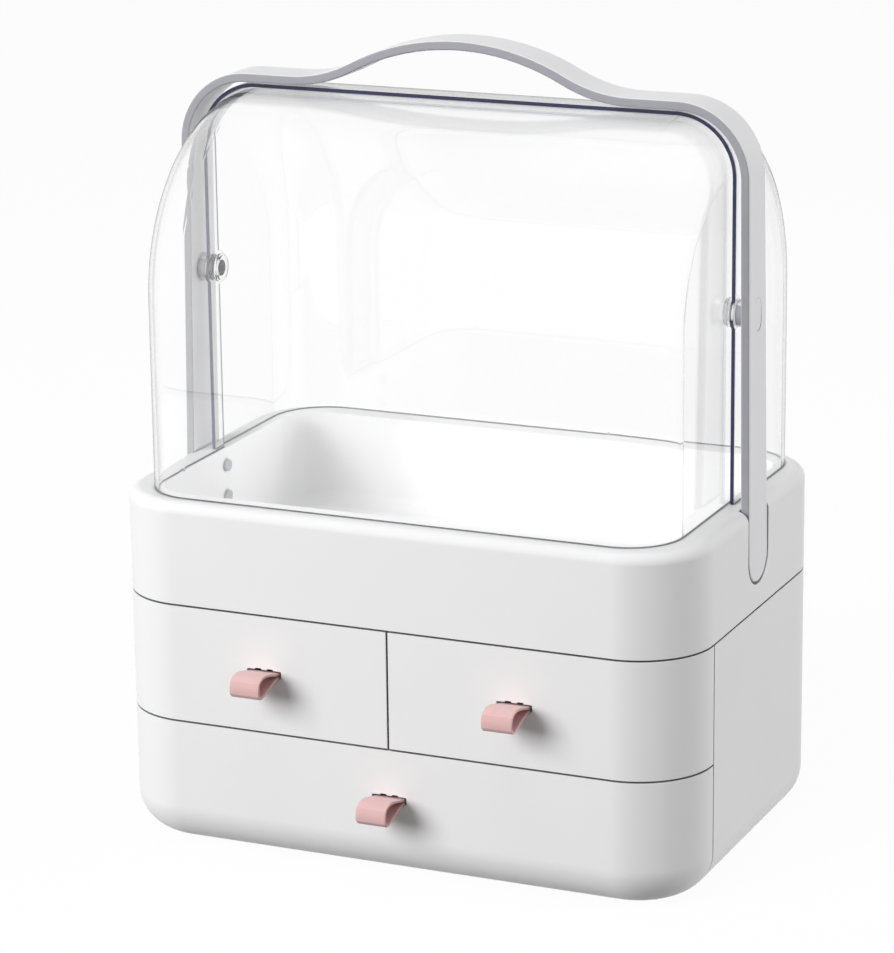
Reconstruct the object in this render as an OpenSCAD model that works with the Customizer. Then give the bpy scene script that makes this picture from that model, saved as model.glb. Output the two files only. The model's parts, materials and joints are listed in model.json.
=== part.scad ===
// Dustproof makeup organizer: a three-drawer case with an open tray on top, two clear
// hood shells that swing up on pins in the legs of an arched carry handle.
// Millimetres, +Z up, front towards -Y. The origin is the centre of the flat base.

/* [Case] */
// Overall width of the case
case_w = 300; // [276:1:340]
// Overall depth of the case, without the pulls
case_d = 198; // [188:1:226]
// Radius of the upright corners
case_r = 37; // [34:0.5:44]
// Radius of the rounding all round the base
base_r = 21; // [12:0.5:23]
// Thickness of the moulded outside walls
wall_t = 2.4; // [2:0.1:3]
// Height of the seam between the top drawers and the upper case
seam_z = 124; // [112:1:140]
// Height of the seam between the bottom drawer and the top drawers
split_z = 65; // [56:1:72]
// Height of the upper case above its seam
upper_h = 51.5; // [46:0.5:60]
// Width of the shadow line between two outside panels
line_gap = 0.8; // [0.6:0.1:1.2]
// Width of the rim, from the outside to the open tray
rim_w = 17; // [16:0.5:20]
// Rounding of the outer edge of the rim
rim_r = 6; // [3:0.5:8]
// Rounding between the floor and the walls of the open tray
basin_r = 8; // [4:0.5:14]

/* [Drawers] */
// How far the drawer fronts wrap round the sides, from the front face
wrap_d = 38.5; // [37:0.5:44]
// Distance from the outside of the case to the side of a drawer tray
tray_side = 9; // [8.6:0.1:12]
// Distance from the back of the case to the back of a drawer tray
tray_back = 18.4; // [16:0.2:26]
// Thickness of the drawer trays
tray_t = 2; // [1.6:0.1:2.6]
// How much smaller the corner radius of a tray is than that of the case
tray_corner_step = 7; // [5:0.5:8.5]
// Corner radius of the top trays beside the divider
tray_inner_r = 6; // [4:0.5:12]
// Rounding along the bottom of the top trays
tray_base_r = 3.5; // [2.5:0.5:4]
// Clearance under a drawer tray
run_gap = 0.4; // [0.3:0.1:0.8]
// Clearance between a tray and the divider
divider_gap = 0.8; // [0.5:0.1:1.5]
// Thickness of the divider between the top drawers
divider_t = 2.4; // [2:0.1:4]
// Clearance round the shelf
shelf_gap = 0.4; // [0.3:0.1:0.8]
// Space above a drawer tray
head_gap = 2.6; // [2.2:0.1:4]
// How far the top drawers pull out
top_travel = 140; // [100:1:150]
// How far the bottom drawer pulls out
bottom_travel = 140; // [100:1:150]
// Width of a stop tab on the back of a tray
stop_w = 12; // [8:1:18]
// Distance of the stop tabs of the bottom drawer from the middle
bottom_stop_x = 60; // [40:1:90]

/* [Pulls] */
// Width of the soft loop
pull_w = 15.5; // [12:0.5:22]
// Thickness of the strip of the loop
pull_t = 1.4; // [1:0.1:1.8]
// How far the loop stands out from the drawer front
pull_out = 22; // [18:0.5:28]
// Outer radius of the rounded front of the loop
pull_r = 5.75; // [5:0.25:7]
// How far the round of the loop hangs below the slot
pull_drop = 0.6; // [0:0.1:1.5]
// Distance of the top pulls from the middle of the case
pull_x = 65; // [45:1:75]
// Height of the slot above the bottom edge of a top drawer front
top_pull_h = 30; // [24:0.5:36]
// Height of the slot of the bottom drawer above the base
bottom_pull_h = 40; // [32:0.5:46]
// Clearance between the strip and its slot, above and below
slot_gap = 0.3; // [0.2:0.1:0.5]
// Clearance at each end of the slot
slot_side = 1.2; // [0.4:0.1:2]

/* [Hood] */
// Wall thickness of the clear shells
hood_t = 1.8; // [1.6:0.1:2.6]
// Clearance between the inner front shell and the outer rear shell
hood_gap = 1.3; // [0.6:0.1:1.4]
// Clearance between the rear shell and the legs of the handle
leg_gap = 6.5; // [4:0.25:7]
// Distance from the back of the case to the rear shell
hood_back = 4.3; // [4:0.1:7.5]
// Corner radius of the rear shell, from the front and from above
hood_r = 30; // [27:0.5:36]
// Height of the hinge pins above the rim
pivot_h = 92.5; // [92:0.5:100]
// How far the front shell reaches behind the middle of the handle
front_lap = 0.75; // [0.4:0.05:1.5]
// How far the rear shell reaches in front of the middle, over the front shell
rear_lap = 5.1; // [0.5:0.1:6]
// Clearance between the hood and the rim
hood_rest = 0.3; // [0.2:0.05:0.35]
// Radius of the hinge ears on the shells
ear_r = 8.5; // [7.5:0.25:11]

/* [Handle] */
// Thickness of the handle band
band_t = 4.5; // [4:0.1:6]
// Width of the band across the top
grip_w = 22.5; // [18:0.5:25]
// Width of the foot of each leg
foot_w = 26; // [24:0.5:30]
// How far the feet reach down the sides, below the rim
foot_drop = 38; // [37:0.5:43]
// How far each leg leans in from its foot up to its shoulder
leg_lean = 2.4; // [0:0.1:3]
// Radius of the outer corners of the handle
shoulder_r = 36; // [32:0.5:42]
// Clearance between the shoulders of the handle and the hood
shoulder_gap = 1.3; // [1:0.1:5]
// How high the middle of the grip stands above the shoulders
grip_rise = 21.7; // [16:0.1:26]
// Distance from the middle of the grip to the lowest point beside it
grip_run = 88; // [80:0.5:94]
// Radius of the top of the grip
grip_r = 120; // [100:1:130]
// Clearance round the foot of a leg in its recess
foot_gap = 1.2; // [0.8:0.1:1.6]

/* [Fasteners] */
// Radius of the hinge pins
pin_r = 4; // [3.5:0.1:5]
// Running clearance of the shells on the hinge pins
pin_gap = 0.06; // [0.02:0.01:0.09]
// Radius of the heads of the hinge pins
pin_head_r = 7; // [6:0.25:8]
// Thickness of the heads of the hinge pins
pin_head_t = 2.2; // [1.6:0.1:3]
// Side clearance of the shells on their pins
play = 0.3; // [0.2:0.05:0.4]
// Shank radius of the screws
screw_r = 1.5; // [1.3:0.05:1.7]
// Head radius of the screws
screw_head_r = 2.9; // [2.6:0.1:3]
// Thickness of the screw heads
screw_head_t = 1.8; // [1.4:0.1:2.2]
// How much a screw thread bites into its pilot hole
thread_bite = 0.2; // [0.1:0.05:0.3]
// Radius of the posts that the case screws stand in
post_r = 4.5; // [4.2:0.1:4.8]
// Length of a case screw under its head
case_screw_l = 20; // [16:1:26]

/* [Hidden] */
$fn = 96;

eps = 0.01;
big = 1000;
left = -1;
right = 1;

// Case
hw = case_w / 2;
hd = case_d / 2;
rim_z = seam_z + upper_h;
lower_top = seam_z - line_gap / 2;
upper_bottom = seam_z + line_gap / 2;
basin_floor = upper_bottom + wall_t;
wrap_y = -(hd - wrap_d);
front_inside = -(hd - wall_t);
back_inside = hd - wall_t;
side_inside = hw - wall_t;
floor_lift = 0.8;
tongue_gap = 1;

// Shelf and divider
shelf_drop = 0.2;
shelf_top = split_z - shelf_drop;
shelf_bottom = shelf_top - wall_t;
ledge_h = 6;
ledge_end = hd - case_r - 2;
ledge_side_gap = 1;
rear_ledge_gap = 10;
tab_l = 14;
tab_y = 50;
tab_gap = 0.1;

// Trays
tray_hw = hw - tray_side;
tray_front = front_inside;
tray_rear = hd - tray_back;
tray_r = case_r - tray_corner_step;
bottom_tray_z = wall_t + run_gap;
bottom_tray_h = shelf_bottom - head_gap - bottom_tray_z;
bottom_tray_rb = base_r - wall_t - run_gap;
top_tray_z = shelf_top + run_gap;
top_tray_h = upper_bottom - head_gap - top_tray_z;
top_tray_x = divider_t / 2 + divider_gap;
stop_gap = 0.5;
stop_tab_h = 6;
stop_rib_t = 2.4;
top_stop_x = [40, 100];

// Pulls
top_pull_z = split_z + top_pull_h;
pull_u = pull_out - pull_r;
clip_l = 5;
clip_h = 9;
clip_side = 3;
clip_fit = 0.1;
clip_front = tray_front + tray_t;
clip_rear = clip_front + clip_l;
anchor_h = 7;
loop_nip = pull_t / 8;
loop_bite = 0.05;
notch_x = pull_w / 5;
notch_w = 3;
notch_h = 0.7;

// Hood
pivot_z = rim_z + pivot_h;
foot_z = rim_z + hood_rest;
rear_w = hw - band_t - leg_gap;
rear_rad = hd - hood_back;
shell_step = hood_t + hood_gap;
front_w = rear_w - shell_step;
front_rad = rear_rad - shell_step;
front_r = hood_r - shell_step;
pin_face = front_w - hood_t - play;

// Handle
shoulder_z = pivot_z + rear_rad + shoulder_gap + band_t;
dip_r = (grip_run * grip_run + grip_rise * grip_rise) / (2 * grip_rise) - grip_r;
grip_span = grip_r + dip_r;
leg_x = hw - band_t;
foot_z0 = rim_z - foot_drop + foot_w / 2;
neck_z = shoulder_z - shoulder_r;
lean_share = leg_lean / (neck_z - foot_z0);
leg_boss_r = 6.5;
recess_floor = leg_x - play - lean_share * (rim_z - foot_z0);
recess_hw = foot_w / 2 + foot_gap;
stud_r = 4;
stud_gap = 0.15;
stud_pitch = 16;
stud_z = [foot_z0, foot_z0 + stud_pitch];
basin_x = hw - rim_w;
cap_t = 0.9;
cap_w = 9.5;
cap_h = 16;
cap_gap = 0.1;
cap_x = hw - lean_share * (pivot_z - foot_z0);

// Screws
pilot_r = screw_r - thread_bite;
clear_r = screw_r + 0.2;
post_at = (case_r - rim_w / 2) * sin(45);
screw_depth = 10;
screw_seat = upper_bottom - screw_depth;
pilot_spare = 2;
boss_r = 3.6;
boss_gap = 0.2;
boss_short = 0.2;
front_skin = 0.8;
front_head_r = 4.6;
top_screw_x = [22, 100];
bottom_screw_x = [40, 95];
tongue_w = 14;
tongue_y = 47;
tongue_t = 2.2;
tongue_h = 8;

white = "#eeeeee";
inside_white = "#e6e6ea";
handle_white = "#d2d2da";
clear_tint = [0.86, 0.88, 0.96, 0.35];
pink = "#f0c6c8";
steel = "silver";

// ---- shapes that several parts share ----

// Rectangle with round corners
module plan(w, d, r) {
  square([w - 2 * r, d], center = true);
  square([w, d - 2 * r], center = true);
  for (sx = [-1, 1], sy = [-1, 1])
    translate([sx * (w / 2 - r), sy * (d / 2 - r)]) circle(r);
}

// The outer, lower quarter of a disc
module quarter(r) {
  intersection() {
    circle(r);
    translate([0, -r]) square(r);
  }
}

// Block on z = 0 with round upright corners and a rounded bottom edge
module rounded_block(w, d, h, r, rb) {
  translate([0, 0, rb]) linear_extrude(h - rb) plan(w, d, r);
  linear_extrude(rb) plan(w - 2 * rb, d - 2 * rb, r - rb);
  for (a = [0, 180]) rotate([0, 0, a]) {
    translate([w / 2 - r, -(d / 2 - rb), rb])
      rotate([90, 0, -90]) linear_extrude(w - 2 * r) quarter(rb);
    translate([w / 2 - rb, d / 2 - r, rb])
      rotate([90, 0, 0]) linear_extrude(d - 2 * r) quarter(rb);
  }
  for (i = [0 : 3]) {
    sx = (i == 0 || i == 3) ? 1 : -1;
    sy = i < 2 ? 1 : -1;
    translate([sx * (w / 2 - r), sy * (d / 2 - r), rb]) rotate([0, 0, i * 90])
      rotate_extrude(angle = 90) translate([r - rb, 0]) quarter(rb);
  }
}

// The same block with its rounded edge on top, from z0 to z1
module rounded_top(w, d, z0, z1, r, rt) {
  translate([0, 0, z1]) mirror([0, 0, 1]) rounded_block(w, d, z1 - z0, r, rt);
}

// Outside of the lower half of the case, moved in by t
module base_body(t) {
  translate([0, 0, t])
    rounded_block(case_w - 2 * t, case_d - 2 * t, seam_z, case_r - t, base_r - t);
}

// Everything in front of y, or behind it
module before(y) translate([-big / 2, y - big, -big / 2]) cube(big);
module behind(y) translate([-big / 2, y, -big / 2]) cube(big);

// Box given by its two corners
module box(a, b) translate(a) cube(b - a);

// Cylinder along X, from x0 to x1
module rod_x(r, x0, x1, y = 0, z = 0)
  translate([x0, y, z]) rotate([0, 90, 0]) cylinder(r = r, h = x1 - x0);

// Cylinder along Y, from y0 to y1
module rod_y(r, y0, y1, x = 0, z = 0)
  translate([x, y1, z]) rotate([90, 0, 0]) cylinder(r = r, h = y1 - y0);

// Cylinder along Z, from z0 to z1
module rod_z(r, z0, z1) translate([0, 0, z0]) cylinder(r = r, h = z1 - z0);

// Children on both sides of the case
module both_sides() {
  children();
  mirror([1, 0, 0]) children();
}

// Children at the two rear screw posts
module at_posts()
  for (sx = [-1, 1])
    translate([sx * (hw - case_r + post_at), hd - case_r + post_at, 0]) children();

// ---- case ----

module lower_case() {
  color(white) difference() {
    union() {
      difference() {
        base_body(0);
        base_body(wall_t);
        before(wrap_y + line_gap / 2);
        box([-hw - 1, -hd - 1, lower_top], [hw + 1, hd + 1, seam_z + 1]);
      }
      floor_tongue();
      both_sides() shelf_ledge();
      rear_ledge();
      intersection() {
        at_posts() rod_z(post_r, 0, upper_bottom);
        linear_extrude(big) plan(case_w, case_d, case_r);
        union() {
          base_body(0);
          box([-hw, -hd, base_r], [hw, hd, upper_bottom]);
        }
      }
    }
    at_posts() rod_z(screw_head_r + 0.3, -1, screw_seat);
    at_posts() rod_z(clear_r, screw_seat - 1, upper_bottom + 1);
  }
}

// Floor under the front of the bottom drawer
module floor_tongue()
  box([-(hw - base_r - tongue_gap), -(hd - base_r - tongue_gap), 0],
      [hw - base_r - tongue_gap, wrap_y + line_gap, wall_t]);

module shelf_ledge()
  box([tray_hw + ledge_side_gap, -ledge_end, shelf_bottom - ledge_h],
      [side_inside + eps, ledge_end, shelf_bottom]);

module rear_ledge()
  box([-(hw - case_r - rear_ledge_gap), back_inside - ledge_h, shelf_bottom - ledge_h],
      [hw - case_r - rear_ledge_gap, back_inside + eps, shelf_bottom]);

module drawer_shelf() {
  color(white) difference() {
    union() {
      translate([0, 0, shelf_bottom]) linear_extrude(wall_t)
        plan(2 * (side_inside - shelf_gap), 2 * (back_inside - shelf_gap),
             case_r - wall_t - shelf_gap);
      for (sx = [-1, 1])
        stop_rib(sx * bottom_stop_x, bottom_travel, shelf_bottom);
    }
    at_posts() rod_z(post_r + shelf_gap, shelf_bottom - 1, shelf_top + 1);
    for (y = [-tab_y, tab_y])
      box([-divider_t / 2 - tab_gap, y - tab_l / 2 - tab_gap, shelf_bottom - 1],
          [divider_t / 2 + tab_gap, y + tab_l / 2 + tab_gap, shelf_top + 1]);
  }
}

// Rib under a ceiling at z that stops the tab of a tray after its travel
module stop_rib(x, travel, z) {
  rib_rear = tray_rear - tray_t - travel - play;
  box([x - stop_w / 2, rib_rear - stop_rib_t, z - head_gap + stop_gap],
      [x + stop_w / 2, rib_rear, z + eps]);
}

module drawer_divider() {
  color(white) {
    box([-divider_t / 2, front_inside + 0.6, shelf_top],
        [divider_t / 2, back_inside - play, upper_bottom]);
    for (y = [-tab_y, tab_y])
      box([-divider_t / 2, y - tab_l / 2, shelf_bottom],
          [divider_t / 2, y + tab_l / 2, shelf_top + eps]);
  }
}

module upper_case() {
  color(white) difference() {
    union() {
      difference() {
        rounded_top(case_w, case_d, upper_bottom, rim_z, case_r, rim_r);
        rim_cavity();
        basin();
      }
      both_sides() foot_pocket();
      at_posts() rod_z(post_r, upper_bottom, rim_z - wall_t + eps);
      both_sides() for (y = [-tongue_y, tongue_y]) locating_tongue(y);
      both_sides() for (x = top_stop_x) stop_rib(x, top_travel, upper_bottom);
    }
    both_sides() foot_recess();
    both_sides() for (z = stud_z) {
      rod_x(stud_r + stud_gap, hw - rim_w + wall_t, recess_floor + 1, 0, z);
      rod_x(clear_r, basin_x - 1, hw - rim_w + wall_t + 1, 0, z);
    }
    at_posts() rod_z(pilot_r, upper_bottom - 1, screw_seat + case_screw_l + pilot_spare);
  }
}

// Hollow between the outside skirt and the wall of the open tray
module rim_cavity() {
  top_z = rim_z - wall_t;
  translate([0, 0, upper_bottom - 1]) linear_extrude(top_z - upper_bottom + 1) difference() {
    plan(2 * side_inside, 2 * back_inside, case_r - wall_t);
    plan(case_w - 2 * (rim_w - wall_t), case_d - 2 * (rim_w - wall_t),
         case_r - rim_w + wall_t);
  }
}

// Inside of the open tray
module basin()
  translate([0, 0, basin_floor])
    rounded_block(case_w - 2 * rim_w, case_d - 2 * rim_w, upper_h, case_r - rim_w,
                  basin_r);

// Outline of the foot of a leg, seen from the side, grown by g
module foot_outline(g) {
  translate([0, foot_z0]) circle(foot_w / 2 + g);
  translate([-foot_w / 2 - g, foot_z0]) square([foot_w + 2 * g, rim_z - foot_z0 + 1]);
}

module foot_recess()
  translate([recess_floor, 0, 0]) rotate([90, 0, 90])
    linear_extrude(band_t + 2) foot_outline(foot_gap);

// Wall behind the recess of a foot, with the two tubes that its studs stand in
module foot_pocket() {
  wall_x = recess_floor - wall_t;
  intersection() {
    translate([wall_x, 0, 0]) rotate([90, 0, 90])
      linear_extrude(hw - wall_x - eps) foot_outline(foot_gap + wall_t);
    box([0, -hd, upper_bottom], [side_inside + eps, hd, rim_z - rim_r]);
  }
  for (z = stud_z) rod_x(stud_r + 1.8, hw - rim_w + wall_t - eps, wall_x + eps, 0, z);
}

// Tongue that locates the upper case inside the side wall of the lower case
module locating_tongue(y) {
  x1 = side_inside - play;
  box([x1 - tongue_t, y - tongue_w / 2, seam_z - tongue_h],
      [x1, y + tongue_w / 2, upper_bottom + 4]);
  box([x1 - tongue_t, y - tongue_w / 2, upper_bottom],
      [side_inside + eps, y + tongue_w / 2, upper_bottom + 4]);
}

module case_screws() {
  color(steel) at_posts() {
    rod_z(screw_head_r, screw_seat - screw_head_t, screw_seat);
    rod_z(screw_r, screw_seat - eps, screw_seat + case_screw_l);
  }
}

// ---- hood ----

// Body of revolution about X: half width w, radius r and rounded edges of radius c
module half_drum(w, r, c) {
  rotate([90, 0, 90]) rotate_extrude(angle = 180) {
    translate([0, -w]) square([r - c, 2 * w]);
    translate([0, -w + c]) square([r, 2 * (w - c)]);
    for (s = [-1, 1]) translate([r - c, s * (w - c)]) circle(c);
  }
}

// Solid under a hood of half width w and radius r, from z0 up
module hood_body(w, r, c, z0) {
  translate([0, 0, pivot_z]) half_drum(w, r, c);
  translate([0, 0, z0]) linear_extrude(pivot_z - z0) plan(2 * w, 2 * r, c);
}

// Clear shell over the side of the case that dir points to, along Y
module hood_shell(w, r, c, dir) {
  difference() {
    union() {
      difference() {
        hood_body(w, r, c, foot_z);
        hood_body(w - hood_t, r - hood_t, c - hood_t, foot_z - 1);
        if (dir < 0) behind(front_lap);
        else before(-rear_lap);
      }
      both_sides() rod_x(ear_r, w - hood_t, w, 0, pivot_z);
    }
    rod_x(pin_r + pin_gap, -w - 1, w + 1, 0, pivot_z);
  }
}

module front_hood() color(clear_tint) hood_shell(front_w, front_rad, front_r, -1);

module rear_hood() color(clear_tint) hood_shell(rear_w, rear_rad, hood_r, 1);

module hinge_pin(side) {
  edge = 0.8;
  color(clear_tint) scale_x(side) {
    rod_x(pin_head_r, pin_face - pin_head_t + edge, pin_face, 0, pivot_z);
    rod_x(pin_head_r - edge, pin_face - pin_head_t, pin_face, 0, pivot_z);
    rod_x(pin_r, pin_face - eps, cap_x - cap_t - cap_gap, 0, pivot_z);
  }
}

module scale_x(side) {
  if (side < 0) mirror([1, 0, 0]) children();
  else children();
}

// ---- handle ----

// Area under the handle, moved in by t
module handle_area(t) {
  top = shoulder_z - t;
  w = hw - t;
  r = shoulder_r - t;
  base = foot_z0 - foot_w;
  neck = w - leg_lean;
  polygon([[-w, base], [w, base], [w, foot_z0], [neck, neck_z], [-neck, neck_z], [-w, foot_z0]]);
  translate([-neck + r, base]) square([2 * (neck - r), top - base]);
  for (s = [-1, 1]) translate([s * (neck - r), neck_z]) circle(r);
  // rise of the grip, cut by the two hollows beside it and by the round of its top
  x_join = grip_run * (grip_r - t) / grip_span;
  difference() {
    translate([-grip_run, top - band_t]) square([2 * grip_run, band_t + grip_rise]);
    for (s = [-1, 1])
      translate([s * grip_run, shoulder_z + dip_r]) circle(dip_r + t);
    difference() {
      translate([-x_join, top - 2 * band_t]) square([2 * x_join, 2 * grip_rise + 3 * band_t]);
      translate([0, shoulder_z + grip_rise - grip_r]) circle(grip_r - t);
    }
  }
}

// Outline of the handle from the side: narrow on top, wide at the round feet
module handle_side() {
  top_z = shoulder_z + grip_rise + 1;
  polygon([[-foot_w / 2, foot_z0], [foot_w / 2, foot_z0], [grip_w / 2, neck_z],
           [grip_w / 2, top_z], [-grip_w / 2, top_z], [-grip_w / 2, neck_z]]);
  translate([0, foot_z0]) circle(foot_w / 2);
}

module carry_handle() {
  color(handle_white) difference() {
    union() {
      intersection() {
        translate([0, foot_w / 2, 0]) rotate([90, 0, 0]) linear_extrude(foot_w)
          difference() {
            handle_area(0);
            handle_area(band_t);
          }
        translate([-hw - 1, 0, 0]) rotate([90, 0, 90])
          linear_extrude(case_w + 2) handle_side();
      }
      both_sides() {
        rod_x(leg_boss_r, rear_w + play, leg_x + eps, 0, pivot_z);
        for (z = stud_z) rod_x(stud_r, basin_x + wall_t, leg_x + eps, 0, z);
      }
    }
    both_sides() {
      rod_x(pin_r - thread_bite / 4, rear_w - 1, hw + 1, 0, pivot_z);
      cap_shape(cap_x - cap_t - cap_gap, hw + 1, cap_gap);
      for (z = stud_z) rod_x(pilot_r, basin_x, hw - 2, 0, z);
    }
  }
}

// Upright oblong disc from x0 to x1, grown by g
module cap_shape(x0, x1, g) {
  half = (cap_h - cap_w) / 2;
  translate([x0, 0, pivot_z]) rotate([90, 0, 90]) linear_extrude(x1 - x0) {
    square([cap_w + 2 * g, 2 * half], center = true);
    for (s = [-1, 1]) translate([0, s * half]) circle(cap_w / 2 + g);
  }
}

module hinge_cap(side)
  color(handle_white) scale_x(side) cap_shape(cap_x - cap_t - cap_gap, cap_x - cap_gap, 0);

module handle_screws() {
  color(steel) both_sides() for (z = stud_z) {
    rod_x(screw_head_r, basin_x - screw_head_t, basin_x, 0, z);
    rod_x(screw_r, basin_x - eps, hw - 2.5, 0, z);
  }
}

// ---- drawers ----

// Tray of the bottom drawer, moved in by t, open at the top when extra is more than 0
module bottom_tray_body(t, extra = 0) {
  translate([0, (tray_front + tray_rear) / 2, bottom_tray_z + t])
    rounded_block(2 * (tray_hw - t), tray_rear - tray_front - 2 * t,
                  bottom_tray_h - t + extra, tray_r - t, bottom_tray_rb - t);
}

// Tray of the right drawer, moved in by t: large corners outside, small ones at the divider
module top_tray_body(t, extra = 0) {
  span = tray_hw - top_tray_x - 2 * t;
  depth = tray_rear - tray_front - 2 * t;
  inner = span - tray_r;
  for (part = [[span, tray_r - t], [inner, tray_inner_r - t]])
    translate([top_tray_x + t + part[0] / 2, (tray_front + tray_rear) / 2, top_tray_z + t])
      rounded_block(part[0], depth, top_tray_h - t + extra, part[1], tray_base_r - t);
}

// Tab on the back of a tray that meets the stop rib
module stop_tab(x, ceiling)
  box([x - stop_w / 2, tray_rear - tray_t, ceiling - head_gap - stop_tab_h],
      [x + stop_w / 2, tray_rear, ceiling - stop_gap]);

// Holes in the front wall of a tray: the pull slot and one for each boss of the front
module tray_front_holes(x, z, screws) {
  pull_slot(x, z, tray_front - 1, tray_front + tray_t + 1);
  for (sx = screws)
    rod_y(boss_r + boss_gap, tray_front - 1, tray_front + tray_t + 1, sx, z);
}

module pull_slot(x, z, y0, y1)
  box([x - pull_w / 2 - slot_side, y0, z - pull_t - slot_gap],
      [x + pull_w / 2 + slot_side, y1, z + pull_t + slot_gap]);

module bottom_drawer_tray() {
  color(inside_white) difference() {
    union() {
      difference() {
        bottom_tray_body(0);
        bottom_tray_body(tray_t, 5);
      }
      for (sx = [-1, 1]) stop_tab(sx * bottom_stop_x, shelf_bottom);
    }
    tray_front_holes(0, bottom_pull_h, bottom_screws());
  }
}

module top_drawer_tray(side) {
  color(inside_white) scale_x(side) difference() {
    union() {
      difference() {
        top_tray_body(0);
        top_tray_body(tray_t, 5);
      }
      for (x = top_stop_x) stop_tab(x, upper_bottom);
    }
    tray_front_holes(pull_x, top_pull_z, top_screw_x);
  }
}

function bottom_screws() = [for (s = [-1, 1], x = bottom_screw_x) s * x];

// Bosses on the back of a drawer front that stand in the wall of the tray
module front_bosses(z, screws)
  for (sx = screws) rod_y(boss_r, front_inside - eps, tray_front + tray_t - boss_short, sx, z);

// What is cut out of a drawer front: the slot of the pull and the pilot holes
module front_holes(x, z, screws) {
  pull_slot(x, z, -hd - 1, front_inside + 1);
  for (s = [-1, 1])
    box([x + s * notch_x - notch_w / 2, -hd - 1, z],
        [x + s * notch_x + notch_w / 2, front_inside + 1,
         z + pull_t + slot_gap + notch_h]);
  for (sx = screws) rod_y(pilot_r, -hd + front_skin, 0, sx, z);
}

module bottom_drawer_front() {
  flat_x = hw - base_r;
  color(white) difference() {
    union() {
      difference() {
        base_body(0);
        base_body(wall_t);
        behind(wrap_y - line_gap / 2);
        box([-hw - 1, -hd - 1, -1], [hw + 1, hd, floor_lift]);
        box([-hw - 1, -hd - 1, split_z - line_gap / 2], [hw + 1, hd, big]);
        box([-flat_x, -(hd - base_r), -1], [flat_x, 0, wall_t + 1]);
      }
      front_bosses(bottom_pull_h, bottom_screws());
    }
    front_holes(0, bottom_pull_h, bottom_screws());
  }
}

module top_drawer_front(side) {
  z0 = split_z + line_gap / 2;
  color(white) scale_x(side) difference() {
    union() {
      translate([0, 0, z0]) linear_extrude(lower_top - z0) difference() {
        plan(case_w, case_d, case_r);
        plan(2 * side_inside, 2 * back_inside, case_r - wall_t);
        translate([-hw - 1, wrap_y - line_gap / 2]) square([case_w + 2, case_d]);
        translate([-hw - 1, -hd - 1]) square([hw + 1 + line_gap / 2, case_d]);
      }
      front_bosses(top_pull_z, top_screw_x);
    }
    front_holes(pull_x, top_pull_z, top_screw_x);
  }
}

module drawer_screws(z, screws) {
  seat = tray_front + tray_t;
  color(steel) for (sx = screws) {
    rod_y(front_head_r, seat, seat + screw_head_t, sx, z);
    rod_y(screw_r, -hd + front_skin + 0.2, seat + eps, sx, z);
  }
}

// Point where the straight line from [u, v] touches the round front of the loop
function touch(u, v, r, up) =
  let (du = pull_u - u, dv = -pull_drop - v, d = norm([du, dv]),
       a = atan2(dv, du) + up * asin(r / d), l = sqrt(d * d - r * r))
  [u + l * cos(a), v + l * sin(a)];

// Drop of width w: starts 2 h high at u, with a straight tail behind, and ends in a round
module drop(u, h, r, tail, w) {
  linear_extrude(w)
    polygon([[u - tail, -h], [u, -h], touch(u, -h, r - loop_bite, -1),
             touch(u, h, r - loop_bite, 1), [u, h], [u - tail, h]]);
  translate([pull_u, -pull_drop, 0]) cylinder(r = r, h = w);
}

module pull(x, z) {
  tail = clip_rear + hd;
  color(pink) translate([x + pull_w / 2, -hd, z]) rotate([90, 0, -90]) {
    difference() {
      drop(0, pull_t, pull_r, tail + pull_t / 2, pull_w);
      translate([0, 0, -1]) drop(pull_t, loop_nip, pull_r - pull_t, 0, pull_w + 2);
    }
    translate([-tail - pull_t, -anchor_h / 2, 0]) cube([pull_t, anchor_h, pull_w]);
  }
}

module pull_clip(x, z) {
  color(inside_white) difference() {
    box([x - pull_w / 2 - clip_side, clip_front, z - clip_h / 2],
        [x + pull_w / 2 + clip_side, clip_rear, z + clip_h / 2]);
    box([x - pull_w / 2 - clip_fit, clip_front - 1, z - pull_t - clip_fit],
        [x + pull_w / 2 + clip_fit, clip_rear + 1, z + pull_t + clip_fit]);
  }
}

lower_case();
drawer_shelf();
drawer_divider();
upper_case();
carry_handle();
front_hood();
rear_hood();
hinge_pin(left);  // left_hinge_pin
hinge_pin(right);  // right_hinge_pin
hinge_cap(left);  // left_hinge_cap
hinge_cap(right);  // right_hinge_cap
handle_screws();
case_screws();
top_drawer_tray(left);  // left_drawer_tray
top_drawer_tray(right);  // right_drawer_tray
bottom_drawer_tray();
top_drawer_front(left);  // left_drawer_front
top_drawer_front(right);  // right_drawer_front
bottom_drawer_front();
pull(left * pull_x, top_pull_z);  // left_pull
pull(right * pull_x, top_pull_z);  // right_pull
pull(0, bottom_pull_h);  // bottom_pull
pull_clip(left * pull_x, top_pull_z);  // left_pull_clip
pull_clip(right * pull_x, top_pull_z);  // right_pull_clip
pull_clip(0, bottom_pull_h);  // bottom_pull_clip
drawer_screws(top_pull_z, [for (x = top_screw_x) left * x]);  // left_drawer_screws
drawer_screws(top_pull_z, [for (x = top_screw_x) right * x]);  // right_drawer_screws
drawer_screws(bottom_pull_h, bottom_screws());  // bottom_drawer_screws
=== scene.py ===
import json
import math

import bmesh
import bpy
from bpy.props import FloatProperty, FloatVectorProperty, PointerProperty
from mathutils import Matrix, Vector

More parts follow.
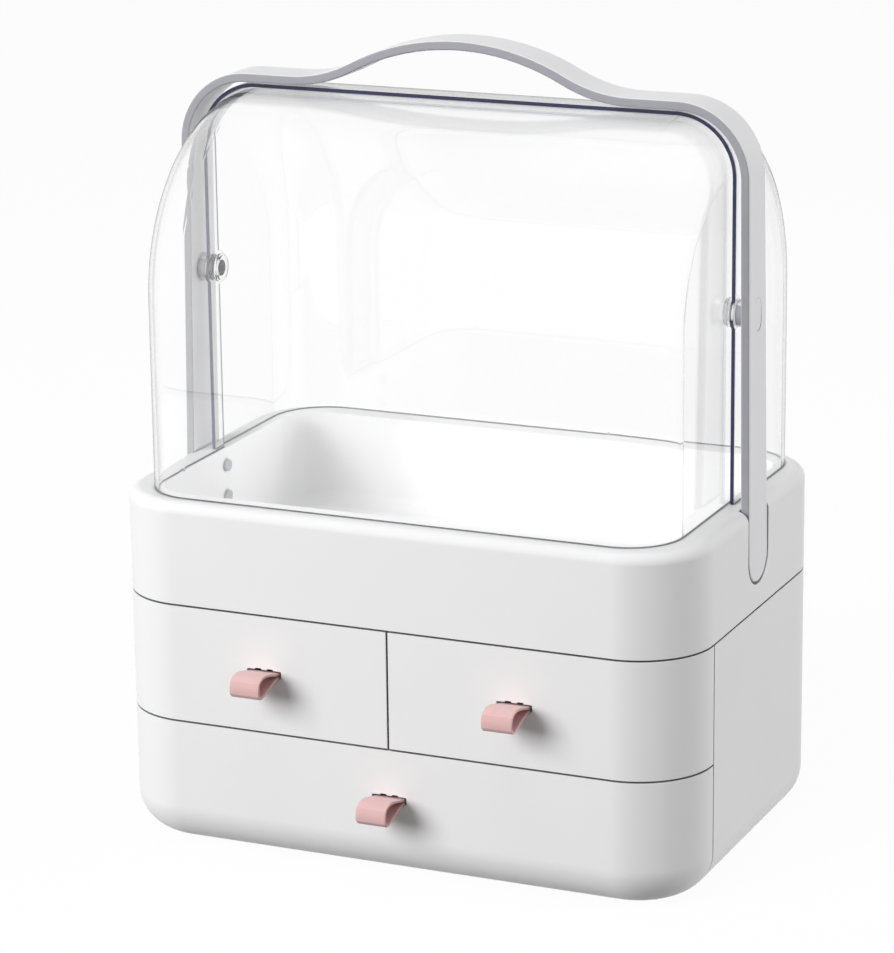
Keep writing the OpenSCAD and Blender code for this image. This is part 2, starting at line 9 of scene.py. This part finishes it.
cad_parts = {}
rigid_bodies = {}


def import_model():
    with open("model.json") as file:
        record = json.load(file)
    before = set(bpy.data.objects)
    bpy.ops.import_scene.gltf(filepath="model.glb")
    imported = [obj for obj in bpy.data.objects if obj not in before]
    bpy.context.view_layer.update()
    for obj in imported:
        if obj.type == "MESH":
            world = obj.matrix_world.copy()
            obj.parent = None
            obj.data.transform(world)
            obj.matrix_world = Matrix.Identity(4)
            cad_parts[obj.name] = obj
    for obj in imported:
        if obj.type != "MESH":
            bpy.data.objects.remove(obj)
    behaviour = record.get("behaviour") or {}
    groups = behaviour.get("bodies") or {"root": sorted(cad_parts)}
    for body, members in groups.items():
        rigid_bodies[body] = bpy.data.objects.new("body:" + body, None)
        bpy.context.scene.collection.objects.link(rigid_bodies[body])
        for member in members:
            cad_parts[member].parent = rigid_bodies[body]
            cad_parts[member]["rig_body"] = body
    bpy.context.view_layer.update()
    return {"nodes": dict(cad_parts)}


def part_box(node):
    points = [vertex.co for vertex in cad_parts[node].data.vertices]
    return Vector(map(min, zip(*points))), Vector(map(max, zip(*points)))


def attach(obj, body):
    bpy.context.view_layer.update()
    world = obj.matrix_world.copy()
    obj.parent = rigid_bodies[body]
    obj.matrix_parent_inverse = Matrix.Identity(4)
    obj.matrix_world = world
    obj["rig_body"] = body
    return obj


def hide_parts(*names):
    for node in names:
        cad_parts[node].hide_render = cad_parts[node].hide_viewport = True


bl_info = {
    "name": "Makeup Organizer",
    "version": (1, 0, 0),
    "blender": (4, 5, 0),
    "location": "View3D > Sidebar > Organizer",
    "description": "Dresses a makeup organizer with a clear hood, drawers and a carry handle",
    "category": "Object",
}

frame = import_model()

MM = 0.001

CASE_NODES = ("lower_case", "upper_case", "drawer_shelf", "drawer_divider",
              "left_drawer_front", "right_drawer_front", "bottom_drawer_front")
TRAY_NODES = ("left_drawer_tray", "right_drawer_tray", "bottom_drawer_tray",
              "left_pull_clip", "right_pull_clip", "bottom_pull_clip")
CAP_NODES = ("left_hinge_cap", "right_hinge_cap")
HOOD_NODES = ("front_hood", "rear_hood")
PIN_NODES = ("left_hinge_pin", "right_hinge_pin")
DRAWERS = ("left", "right", "bottom")


def linear(code):
    """sRGB hex code to linear RGBA."""
    parts = [int(code[i:i + 2], 16) / 255 for i in (1, 3, 5)]
    return tuple(p / 12.92 if p <= 0.04045 else ((p + 0.055) / 1.055) ** 2.4
                 for p in parts) + (1.0,)


def colour(code, text):
    """Colour property; the text's first sentence is its name."""
    return FloatVectorProperty(name=text.split(".")[0], description=text, subtype="COLOR", size=4,
                               min=0.0, max=1.0, default=linear(code))


def length(value, text):
    """Length property from a value in mm; the text's first sentence is its name."""
    return FloatProperty(name=text.split(".")[0], description=text, subtype="DISTANCE",
                         unit="LENGTH", min=0.0, default=value * MM)


class OrganizerColours(bpy.types.PropertyGroup):
    case: colour("#F2F2F2", "Case. Colour of the moulded case and drawer fronts")
    tray: colour("#EEEEEE", "Drawer trays. Colour of the trays inside the case")
    handle: colour("#EEEEF0", "Handle. Colour of the carry handle and its caps")
    # painted shade: the darker grey that the handle's front and rear faces get
    handle_painted_shade: colour("#A6A6AC", "Handle edge. Colour of the handle's front and rear faces")
    hood: colour("#FFFFFF", "Hood. Tint of the clear hood")
    # painted shade: the dark outline of the clear hood where it is seen edge on
    hood_painted_outline: colour("#4C5078", "Hood, edge on. Tint of the clear hood where it is seen edge on")
    # painted light: the colour of the light that the rear shell's cut edge and both feet let out
    hood_edge_painted_light: colour("#363958", "Hood edge. Colour of the rear shell's cut edge and of both feet")
    # painted light: the colour of the light that the front shell's cut edge lets out
    hood_lip_painted_light: colour("#E6E6F6", "Hood lip. Colour of the front shell's cut edge")
    pull: colour("#E3BEBC", "Pulls. Colour of the soft loops")
    screw: colour("#C9CBD0", "Screws. Colour of the plated screws")
    floor: colour("#FFFFFF", "Floor. Colour of the floor as it is seen")


class OrganizerSizes(bpy.types.PropertyGroup):
    pull_width: length(15.5, "Pull width. Width of the soft loops")
    pull_thickness: length(1.4, "Pull thickness. Thickness of the strip that makes a loop")
    floor_size: length(6000, "Floor size. Width of the floor and its backdrop")


# ---- nodes and materials ----

PAINTED_CREVICE_SHADE = linear("#1A1A1C")  # painted shade in the deepest part of a parting line
PAINTED_SHADE_REACH = 1.5 * MM  # how far from a nearby wall a surface starts to darken with painted shade


def add(tree, kind, inputs=None, **settings):
    """Adds a node, sets its properties, and sets or links its inputs."""
    node = tree.nodes.new(kind)
    for key, value in settings.items():
        setattr(node, key, value)
    for key, value in (inputs or {}).items():
        if isinstance(value, bpy.types.NodeSocket):
            tree.links.new(value, node.inputs[key])
        else:
            node.inputs[key].default_value = value
    return node


def blank(name):
    """Makes a material with an empty node tree."""
    material = bpy.data.materials.new(name)
    material.use_nodes = True
    material.node_tree.nodes.clear()
    return material, material.node_tree


def finish_with(tree, surface):
    add(tree, "ShaderNodeOutputMaterial", {"Surface": surface})


def scaled(tint, red, green, blue):
    """A tint with its channels scaled: the other end of a slight mottling."""
    return tint[0] * red, tint[1] * green, tint[2] * blue, 1.0


def moulded_abs(name, tint, roughness):
    """ABS moulded in a tool with a very fine grain: an even satin skin with very slight sink and
    flow marks, 30 mm apart, that only show where a highlight runs over them. Painted shade
    darkens its colour near walls closer than 1.5 mm, as in the parting lines."""
    material, tree = blank(name)
    place = add(tree, "ShaderNodeTexCoord").outputs["Object"]
    flow = add(tree, "ShaderNodeTexNoise", {"Vector": place, "Scale": 1 / 0.030, "Detail": 1.0})
    # spark-eroded tool grain of 0.1 mm, drawn at 0.5 mm so that it can show
    grain = add(tree, "ShaderNodeTexNoise", {"Vector": place, "Scale": 1 / 0.0005, "Detail": 2.0})
    sink = add(tree, "ShaderNodeBump", {"Height": flow.outputs["Fac"], "Strength": 0.06,
                                        "Distance": 0.0006})
    skin = add(tree, "ShaderNodeBump", {"Height": grain.outputs["Fac"], "Strength": 0.03,
                                        "Distance": 0.00002, "Normal": sink.outputs["Normal"]})
    spread = add(tree, "ShaderNodeMapRange", {
        "Value": flow.outputs["Fac"], "To Min": roughness - 0.03, "To Max": roughness + 0.03})
    shade = add(tree, "ShaderNodeMixRGB", {"Fac": flow.outputs["Fac"], "Color1": tint,
                                           "Color2": scaled(tint, 0.985, 0.985, 0.985)})
    # painted shade near walls within reach: the parting lines are 0.8 mm wide and deeper than
    # that, so hardly any light leaves them
    painted_shade_ao = add(tree, "ShaderNodeAmbientOcclusion", {"Distance": PAINTED_SHADE_REACH}, samples=8)
    with_painted_shade = add(tree, "ShaderNodeMixRGB", {"Fac": painted_shade_ao.outputs["AO"], "Color1": PAINTED_CREVICE_SHADE,
                                              "Color2": shade.outputs["Color"]})
    plastic = add(tree, "ShaderNodeBsdfPrincipled", {
        "Base Color": with_painted_shade.outputs["Color"], "Roughness": spread.outputs["Result"],
        "IOR": 1.54, "Normal": skin.outputs["Normal"]})
    finish_with(tree, plastic.outputs["BSDF"])
    return material


def clear_polystyrene(name, tint, painted_outline_tint):
    """Crystal polystyrene, injection moulded: glass clear, with slow flow waves 60 mm apart.
    Lamps shine through it, as they do through a thin clear wall."""
    material, tree = blank(name)
    place = add(tree, "ShaderNodeTexCoord").outputs["Object"]
    waves = add(tree, "ShaderNodeTexNoise", {"Vector": place, "Scale": 1 / 0.060, "Detail": 0.5})
    bump = add(tree, "ShaderNodeBump", {"Height": waves.outputs["Fac"], "Strength": 0.05,
                                        "Distance": 0.0004})
    wall = add(tree, "ShaderNodeBsdfPrincipled", {
        "Base Color": tint, "Roughness": 0.0, "IOR": 1.49, "Transmission Weight": 1.0,
        "Normal": bump.outputs["Normal"]})
    # each side of the wall mirrors 4 percent of a lamp's light away
    open_way = add(tree, "ShaderNodeBsdfTransparent", {"Color": (0.96, 0.96, 0.96, 1.0)})
    # painted shade: seen edge on, the wall keeps the light in, so a dark line is painted there
    look = add(tree, "ShaderNodeLayerWeight", {"Blend": 0.3})
    painted_outline_share = add(tree, "ShaderNodeMath", {0: look.outputs["Facing"], 1: 4.0},
                    operation="POWER")
    painted_outline_bsdf = add(tree, "ShaderNodeBsdfTransparent", {"Color": painted_outline_tint})
    body = add(tree, "ShaderNodeMixShader", {0: painted_outline_share.outputs[0], 1: wall.outputs["BSDF"],
                                             2: painted_outline_bsdf.outputs["BSDF"]})
    rays = add(tree, "ShaderNodeLightPath")
    mixed = add(tree, "ShaderNodeMixShader", {
        0: rays.outputs["Is Shadow Ray"], 1: body.outputs["Shader"], 2: open_way.outputs["BSDF"]})
    finish_with(tree, mixed.outputs["Shader"])
    return material


def painted_light_edge(name, tint):
    """The cut edge of clear polystyrene, painted in the tint of the light that the wall lets out
    there, slightly uneven along its length, over about 20 mm."""
    material, tree = blank(name)
    place = add(tree, "ShaderNodeTexCoord").outputs["Object"]
    cloud = add(tree, "ShaderNodeTexNoise", {"Vector": place, "Scale": 1 / 0.020, "Detail": 1.0})
    shade = add(tree, "ShaderNodeMixRGB", {"Fac": cloud.outputs["Fac"], "Color1": tint,
                                           "Color2": scaled(tint, 0.7, 0.7, 0.7)})
    edge = add(tree, "ShaderNodeBsdfPrincipled", {"Base Color": shade.outputs["Color"],
                                                  "Roughness": 0.25, "IOR": 1.49})
    finish_with(tree, edge.outputs["BSDF"])
    return material


def soft_silicone(name, tint):
    """Silicone rubber strip: matt and slightly waxy, with a fine grain and a soft edge light."""
    material, tree = blank(name)
    place = add(tree, "ShaderNodeTexCoord").outputs["Object"]
    # tool grain of 0.15 mm, drawn at 0.4 mm so that it can show
    grain = add(tree, "ShaderNodeTexNoise", {"Vector": place, "Scale": 1 / 0.0004, "Detail": 3.0})
    cloud = add(tree, "ShaderNodeTexNoise", {"Vector": place, "Scale": 1 / 0.008, "Detail": 2.0})
    bump = add(tree, "ShaderNodeBump", {"Height": grain.outputs["Fac"], "Strength": 0.15,
                                        "Distance": 0.00005})
    shade = add(tree, "ShaderNodeMixRGB", {"Fac": cloud.outputs["Fac"], "Color1": tint,
                                           "Color2": scaled(tint, 0.97, 0.93, 0.93)})
    skin = add(tree, "ShaderNodeBsdfPrincipled", {
        "Base Color": shade.outputs["Color"], "Roughness": 0.55, "IOR": 1.41,
        "Subsurface Weight": 0.15, "Subsurface Radius": (0.002, 0.0008, 0.0006),
        "Subsurface Scale": 1.0, "Sheen Weight": 0.1, "Normal": bump.outputs["Normal"]})
    finish_with(tree, skin.outputs["BSDF"])
    return material


def zinc_plate(name, tint):
    """Zinc-plated steel: bright, slightly mottled by the bath, spots about 1 mm across."""
    material, tree = blank(name)
    place = add(tree, "ShaderNodeTexCoord").outputs["Object"]
    spots = add(tree, "ShaderNodeTexNoise", {"Vector": place, "Scale": 1 / 0.001, "Detail": 3.0})
    spread = add(tree, "ShaderNodeMapRange", {"Value": spots.outputs["Fac"], "To Min": 0.22,
                                              "To Max": 0.38})
    plate = add(tree, "ShaderNodeBsdfPrincipled", {"Base Color": tint, "Metallic": 1.0,
                                                   "Roughness": spread.outputs["Result"]})
    finish_with(tree, plate.outputs["BSDF"])
    return material


def dress(names, *materials):
    """Gives these materials to CAD nodes that stay visible."""
    for name in names:
        node = frame["nodes"][name]
        node.data.materials.clear()
        for material in materials:
            node.data.materials.append(material)


# ---- meshes ----

WELD = 0.01 * MM  # corners closer than this are one
FLAT_ANGLE = math.radians(0.3)  # faces that meet flatter than this are one
SHARP_ANGLE = math.radians(40)  # edges sharper than this are rounded
CREASE_ANGLE = math.radians(50)  # edges sharper than this stay crisp in the shading
MOULD_ROUND = 0.35 * MM  # on the edges of the case's pieces, the drawer fronts and the loops


def new_piece(name, mesh_maker, material):
    """Makes an object at the origin from a bmesh that mesh_maker fills."""
    shape = bmesh.new()
    mesh_maker(shape)
    mesh = bpy.data.meshes.new(name)
    shape.to_mesh(mesh)
    shape.free()
    piece = bpy.data.objects.new(name, mesh)
    bpy.context.scene.collection.objects.link(piece)
    mesh.materials.append(material)
    for face in mesh.polygons:
        face.use_smooth = True
    return piece


def softened(node_name, width, segments, material, chosen=lambda edge: True):
    """Makes a copy of a CAD node with the chosen sharp edges rounded, to stand for the node."""
    def fill(shape):
        shape.from_mesh(frame["nodes"][node_name].data)
        bmesh.ops.remove_doubles(shape, verts=shape.verts, dist=WELD)
        bmesh.ops.dissolve_limit(shape, angle_limit=FLAT_ANGLE, use_dissolve_boundaries=False,
                                 verts=shape.verts, edges=shape.edges, delimit={"NORMAL"})
        sharp = [edge for edge in shape.edges
                 if edge.calc_face_angle(0) > SHARP_ANGLE and chosen(edge)]
        bmesh.ops.bevel(shape, geom=sharp, offset=width, offset_type="OFFSET", affect="EDGES",
                        segments=segments, profile=0.5, material=-1, clamp_overlap=False)
        for edge in shape.edges:
            edge.smooth = edge.calc_face_angle(0) < CREASE_ANGLE
    piece = new_piece(node_name + "_moulded", fill, material)
    shading = piece.modifiers.new("shading", "WEIGHTED_NORMAL")
    shading.keep_sharp = True
    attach(piece, frame["nodes"][node_name]["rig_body"])
    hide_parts(node_name)
    return piece


# Middle of the strip of a loop, from its slot over the top, round the front and back: distance
# from the drawer front and height above the slot, in mm
LOOP_LINE = ((-2.0, 0.75), (1.0, 1.1), (5.0, 2.3), (9.5, 3.6), (14.0, 4.3), (17.6, 4.0),
             (20.1, 2.3), (21.2, -0.6), (20.9, -3.4), (19.2, -5.1), (16.6, -5.2),
             (12.5, -3.9), (8.0, -2.6), (4.0, -1.5), (1.0, -0.9), (-2.0, -0.75))
STRIP_PARTS = 4  # faces across the width of a loop


def loop_mesh(slot, front, width):
    """Fills a bmesh with the middle surface of a loop at a slot."""
    def fill(shape):
        start = slot.x - width / 2
        corners = [shape.verts.new((start, front - out * MM, slot.z + up * MM))
                   for out, up in LOOP_LINE]
        edges = [shape.edges.new(pair) for pair in zip(corners, corners[1:])]
        for _ in range(STRIP_PARTS):
            made = bmesh.ops.extrude_edge_only(shape, edges=edges)["geom"]
            moved = [g for g in made if isinstance(g, bmesh.types.BMVert)]
            bmesh.ops.translate(shape, verts=moved, vec=(width / STRIP_PARTS, 0, 0))
            edges = [g for g in made if isinstance(g, bmesh.types.BMEdge)
                     and all(v in moved for v in g.verts)]
        bmesh.ops.recalc_face_normals(shape, faces=shape.faces)
    return fill


class ORGANIZER_OT_case(bpy.types.Operator):
    """Give the case, its drawer fronts and trays their moulded finish"""
    bl_idname = "organizer.case"
    bl_label = "Case and drawers"

    def execute(self, context):
        tints = context.scene.organizer_colours
        skin = moulded_abs("abs_satin_white", tints.case, 0.38)
        for name in CASE_NODES:
            softened(name, MOULD_ROUND, 2, skin)
        dress(TRAY_NODES, moulded_abs("abs_tray_white", tints.tray, 0.42))
        return {"FINISHED"}


HANDLE_ROUND = 1.0 * MM  # along the edges of the band
RIM_SHARE = 0.72  # share of the handle's half depth beyond which an edge lies on its rim
EDGE_FACING = 0.7  # how far the normal of a front or rear face, which gets painted shade, points along Y, at least


class ORGANIZER_OT_handle(bpy.types.Operator):
    """Give the carry handle and its caps their moulded finish, and paint shade on the band's front
    and rear faces
    """
    bl_idname = "organizer.handle"
    bl_label = "Carry handle"

    def execute(self, context):
        tints = context.scene.organizer_colours
        skin = moulded_abs("abs_satin_grey", tints.handle, 0.34)
        low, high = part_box("carry_handle")
        foot_z = low.z + high.y  # middle of the round end of each leg

        def on_band(edge):
            """Whether an edge runs along the front or back of the band, or round a foot."""
            return all(math.hypot(v.co.y, min(0, v.co.z - foot_z)) > RIM_SHARE * high.y
                       for v in edge.verts)

        band = softened("carry_handle", HANDLE_ROUND, 4, skin, on_band)
        # the handle is one moulding in one colour: the darker grey is painted shade on its front
        # and rear
        #         faces, which the lamps don't give
        band.data.materials.append(moulded_abs("abs_painted_shade_grey", tints.handle_painted_shade, 0.5))
        for face in band.data.polygons:
            face.material_index = 1 if abs(face.normal.y) > EDGE_FACING else 0
        dress(CAP_NODES, skin)
        return {"FINISHED"}


# where each shell is cut; its box can't tell, since the ears round the pins reach past the cut
SEAM_Y = {"front_hood": 0.75 * MM, "rear_hood": -5.1 * MM}
SEAM_REACH = 0.05 * MM  # a face of the cut lies this close to it
FOOT_REACH = 0.1 * MM  # a face of the foot lies this close to the shell's lowest point
SQUARE = 0.99  # how far the normal of a cut or foot face points along its axis, at least
WALL, CUT, LIP = range(3)  # material slots of a shell


class ORGANIZER_OT_hood(bpy.types.Operator):
    """Give the two shells of the hood and their pins a clear finish, with painted light on the cut
    edges and feet and a painted dark outline
    """
    bl_idname = "organizer.hood"
    bl_label = "Clear hood"

    def execute(self, context):
        tints = context.scene.organizer_colours
        clear = clear_polystyrene("clear_polystyrene", tints.hood, tints.hood_painted_outline)
        edge = painted_light_edge("clear_polystyrene_edge", tints.hood_edge_painted_light)
        lip = painted_light_edge("clear_polystyrene_lip", tints.hood_lip_painted_light)
        dress(HOOD_NODES, clear, edge, lip)
        dress(PIN_NODES, clear)
        for name in HOOD_NODES:
            shell = frame["nodes"][name]
            foot_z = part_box(name)[0].z
            seam_slot = CUT if name == "rear_hood" else LIP
            for face in shell.data.polygons:
                on_foot = face.normal.z < -SQUARE and face.center.z < foot_z + FOOT_REACH
                on_seam = (abs(face.normal.y) > SQUARE
                           and abs(face.center.y - SEAM_Y[name]) < SEAM_REACH)
                face.material_index = CUT if on_foot else seam_slot if on_seam else WALL
        return {"FINISHED"}


class ORGANIZER_OT_pulls(bpy.types.Operator):
    """Make the soft loops that open the drawers"""
    bl_idname = "organizer.pulls"
    bl_label = "Drawer pulls"

    def execute(self, context):
        tints = context.scene.organizer_colours
        sizes = context.scene.organizer_sizes
        skin = soft_silicone("silicone_pink", tints.pull)
        for drawer in DRAWERS:
            low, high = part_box(drawer + "_pull")
            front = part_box(drawer + "_drawer_front")[0].y
            slot = Vector(((low.x + high.x) / 2, front, (low.z + high.z) / 2))
            piece = new_piece(drawer + "_soft_loop",
                              loop_mesh(slot, front, sizes.pull_width), skin)
            wall = piece.modifiers.new("wall", "SOLIDIFY")
            wall.thickness = sizes.pull_thickness
            wall.offset = 0.0
            edge = piece.modifiers.new("edge", "BEVEL")
            edge.width = MOULD_ROUND
            edge.segments = 2
            edge.limit_method = "ANGLE"
            smooth = piece.modifiers.new("smooth", "SUBSURF")
            smooth.levels = smooth.render_levels = 2
            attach(piece, drawer + "_drawer")
            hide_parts(drawer + "_pull")
        return {"FINISHED"}


class ORGANIZER_OT_screws(bpy.types.Operator):
    """Give the screws their plating"""
    bl_idname = "organizer.screws"
    bl_label = "Screws"

    def execute(self, context):
        tints = context.scene.organizer_colours
        steel = zinc_plate("zinc_plated_steel", tints.screw)
        dress(["handle_screws", "case_screws"] + [d + "_drawer_screws" for d in DRAWERS], steel)
        return {"FINISHED"}


# ---- stage ----

CAMERA_AZIMUTH = math.radians(23.95)
CAMERA_ELEVATION = math.radians(15.74)
CAMERA_ROLL = math.radians(-0.69)
CAMERA_DISTANCE = 1.88488
CAMERA_TARGET = Vector((-0.01177, 0, 0.17272))
CAMERA_LENS = 145.03  # mm, for the sensor height below
SENSOR_HEIGHT = 36  # mm
CLIP_NEAR = 0.05
CLIP_FAR = 50

LAMPS = (  # name, place, aim, width and power in watts
    ("key", (-1.5, -2.45, 1.4), (0, 0, 0.15), 1.7, 94),
    ("side", (2.55, 0.65, 0.8), (0, 0, 0.2), 1.2, 36),
    ("top", (0, -0.2, 2.5), (0, 0, 0.2), 1.4, 13),
)
WHITE = (1, 1, 1, 1)
FLOOR_BOUNCE = (0.2, 0.2, 0.2, 1)  # the floor's grey for the light that it throws on the part
FLOOR_WHITE = 0.96  # share of plain white in the floor for the camera; the rest is its shadow
ROOM_LIGHT = 0.14  # strength of the even light from all around


def make_camera():
    """Makes the camera of the main view and looks through it."""
    back = Vector((math.sin(CAMERA_AZIMUTH) * math.cos(CAMERA_ELEVATION),
                   -math.cos(CAMERA_AZIMUTH) * math.cos(CAMERA_ELEVATION),
                   math.sin(CAMERA_ELEVATION)))
    side = (-back).cross(Vector((0, 0, 1))).normalized()
    up = side.cross(-back)
    turned_side = math.cos(CAMERA_ROLL) * side + math.sin(CAMERA_ROLL) * up
    turned_up = -math.sin(CAMERA_ROLL) * side + math.cos(CAMERA_ROLL) * up
    data = bpy.data.cameras.new("camera")
    data.sensor_fit = "VERTICAL"
    data.sensor_height = SENSOR_HEIGHT
    data.lens = CAMERA_LENS
    data.clip_start = CLIP_NEAR
    data.clip_end = CLIP_FAR
    camera = bpy.data.objects.new("camera", data)
    bpy.context.scene.collection.objects.link(camera)
    turn = Matrix((turned_side, turned_up, back)).transposed().to_4x4()
    camera.matrix_world = Matrix.Translation(CAMERA_TARGET + back * CAMERA_DISTANCE) @ turn
    bpy.context.scene.camera = camera


def lamp(name, place, aim, width, power):
    """Makes a square soft box that shows in no mirror image and through no clear wall."""
    data = bpy.data.lights.new(name, "AREA")
    data.size = width
    data.energy = power
    light = bpy.data.objects.new(name, data)
    bpy.context.scene.collection.objects.link(light)
    light.location = place
    light.rotation_euler = (Vector(aim) - Vector(place)).to_track_quat("-Z", "Y").to_euler()
    light.visible_glossy = light.visible_transmission = False


def seeing_rays(tree, rays):
    """1 for the rays that see the background: direct, mirrored or through a clear wall."""
    direct = add(tree, "ShaderNodeMath", {0: rays.outputs["Is Camera Ray"],
                                          1: rays.outputs["Is Glossy Ray"]}, operation="MAXIMUM")
    through = add(tree, "ShaderNodeMath", {0: direct.outputs[0],
                                           1: rays.outputs["Is Transmission Ray"]},
                  operation="MAXIMUM")
    return through.outputs[0]


def studio_floor(tint):
    """White paper: plain white where it is seen, less the shadow that falls on it, and grey for
    the light that it throws back, so that the part isn't lit from below."""
    material, tree = blank("studio_floor")
    rays = add(tree, "ShaderNodeLightPath")
    shade = add(tree, "ShaderNodeMixRGB", {"Fac": rays.outputs["Is Camera Ray"],
                                           "Color1": FLOOR_BOUNCE, "Color2": WHITE})
    lit = add(tree, "ShaderNodeBsdfDiffuse", {"Color": shade.outputs["Color"]})
    share = add(tree, "ShaderNodeMapRange", {"Value": rays.outputs["Is Camera Ray"],
                                             "To Min": 1.0, "To Max": FLOOR_WHITE})
    glowing = add(tree, "ShaderNodeMath", {0: seeing_rays(tree, rays), 1: share.outputs[0]},
                  operation="MULTIPLY")
    glow = add(tree, "ShaderNodeEmission", {"Color": tint, "Strength": 1.0})
    paper = add(tree, "ShaderNodeMixShader", {0: glowing.outputs[0], 1: lit.outputs[0],
                                              2: glow.outputs[0]})
    finish_with(tree, paper.outputs[0])
    return material


def studio_world():
    """White where it is seen, and a soft even light on everything else."""
    world = bpy.data.worlds.new("studio")
    world.use_nodes = True
    tree = world.node_tree
    tree.nodes.clear()
    seen = seeing_rays(tree, add(tree, "ShaderNodeLightPath"))
    soft = add(tree, "ShaderNodeBackground", {"Color": WHITE, "Strength": ROOM_LIGHT})
    white = add(tree, "ShaderNodeBackground", {"Color": WHITE, "Strength": 1.0})
    mixed = add(tree, "ShaderNodeMixShader", {0: seen, 1: soft.outputs[0], 2: white.outputs[0]})
    add(tree, "ShaderNodeOutputWorld", {"Surface": mixed.outputs[0]})
    return world


class ORGANIZER_OT_stage(bpy.types.Operator):
    """Make the floor, the lights and the camera"""
    bl_idname = "organizer.stage"
    bl_label = "Stage"

    def execute(self, context):
        scene = context.scene
        scene.view_settings.view_transform = "Standard"
        make_camera()
        half = scene.organizer_sizes.floor_size / 2

        def fill(shape):
            bmesh.ops.create_grid(shape, x_segments=1, y_segments=1, size=half)

        new_piece("floor", fill, studio_floor(scene.organizer_colours.floor))
        scene.world = studio_world()
        for figures in LAMPS:
            lamp(*figures)
        return {"FINISHED"}


class ORGANIZER_PT_panel(bpy.types.Panel):
    """Lists the steps that dress the organizer"""
    bl_idname = "ORGANIZER_PT_panel"
    bl_label = "Makeup Organizer"
    bl_space_type = "VIEW_3D"
    bl_region_type = "UI"
    bl_category = "Organizer"

    def draw(self, context):
        column = self.layout.column()
        for step in STEPS:
            column.operator(step.bl_idname)
        for group in (context.scene.organizer_colours, context.scene.organizer_sizes):
            for name in group.__annotations__:
                column.prop(group, name)


STEPS = (ORGANIZER_OT_case, ORGANIZER_OT_handle, ORGANIZER_OT_hood, ORGANIZER_OT_pulls,
         ORGANIZER_OT_screws, ORGANIZER_OT_stage)
CLASSES = (OrganizerColours, OrganizerSizes) + STEPS + (ORGANIZER_PT_panel,)


def register():
    for cls in CLASSES:
        bpy.utils.register_class(cls)
    bpy.types.Scene.organizer_colours = PointerProperty(type=OrganizerColours)
    bpy.types.Scene.organizer_sizes = PointerProperty(type=OrganizerSizes)


def unregister():
    del bpy.types.Scene.organizer_sizes
    del bpy.types.Scene.organizer_colours
    for cls in reversed(CLASSES):
        bpy.utils.unregister_class(cls)


def main():
    register()
    for step in STEPS:
        group, name = step.bl_idname.split(".")
        getattr(getattr(bpy.ops, group), name)()
    bpy.context.view_layer.update()


if __name__ == "__main__":
    main()
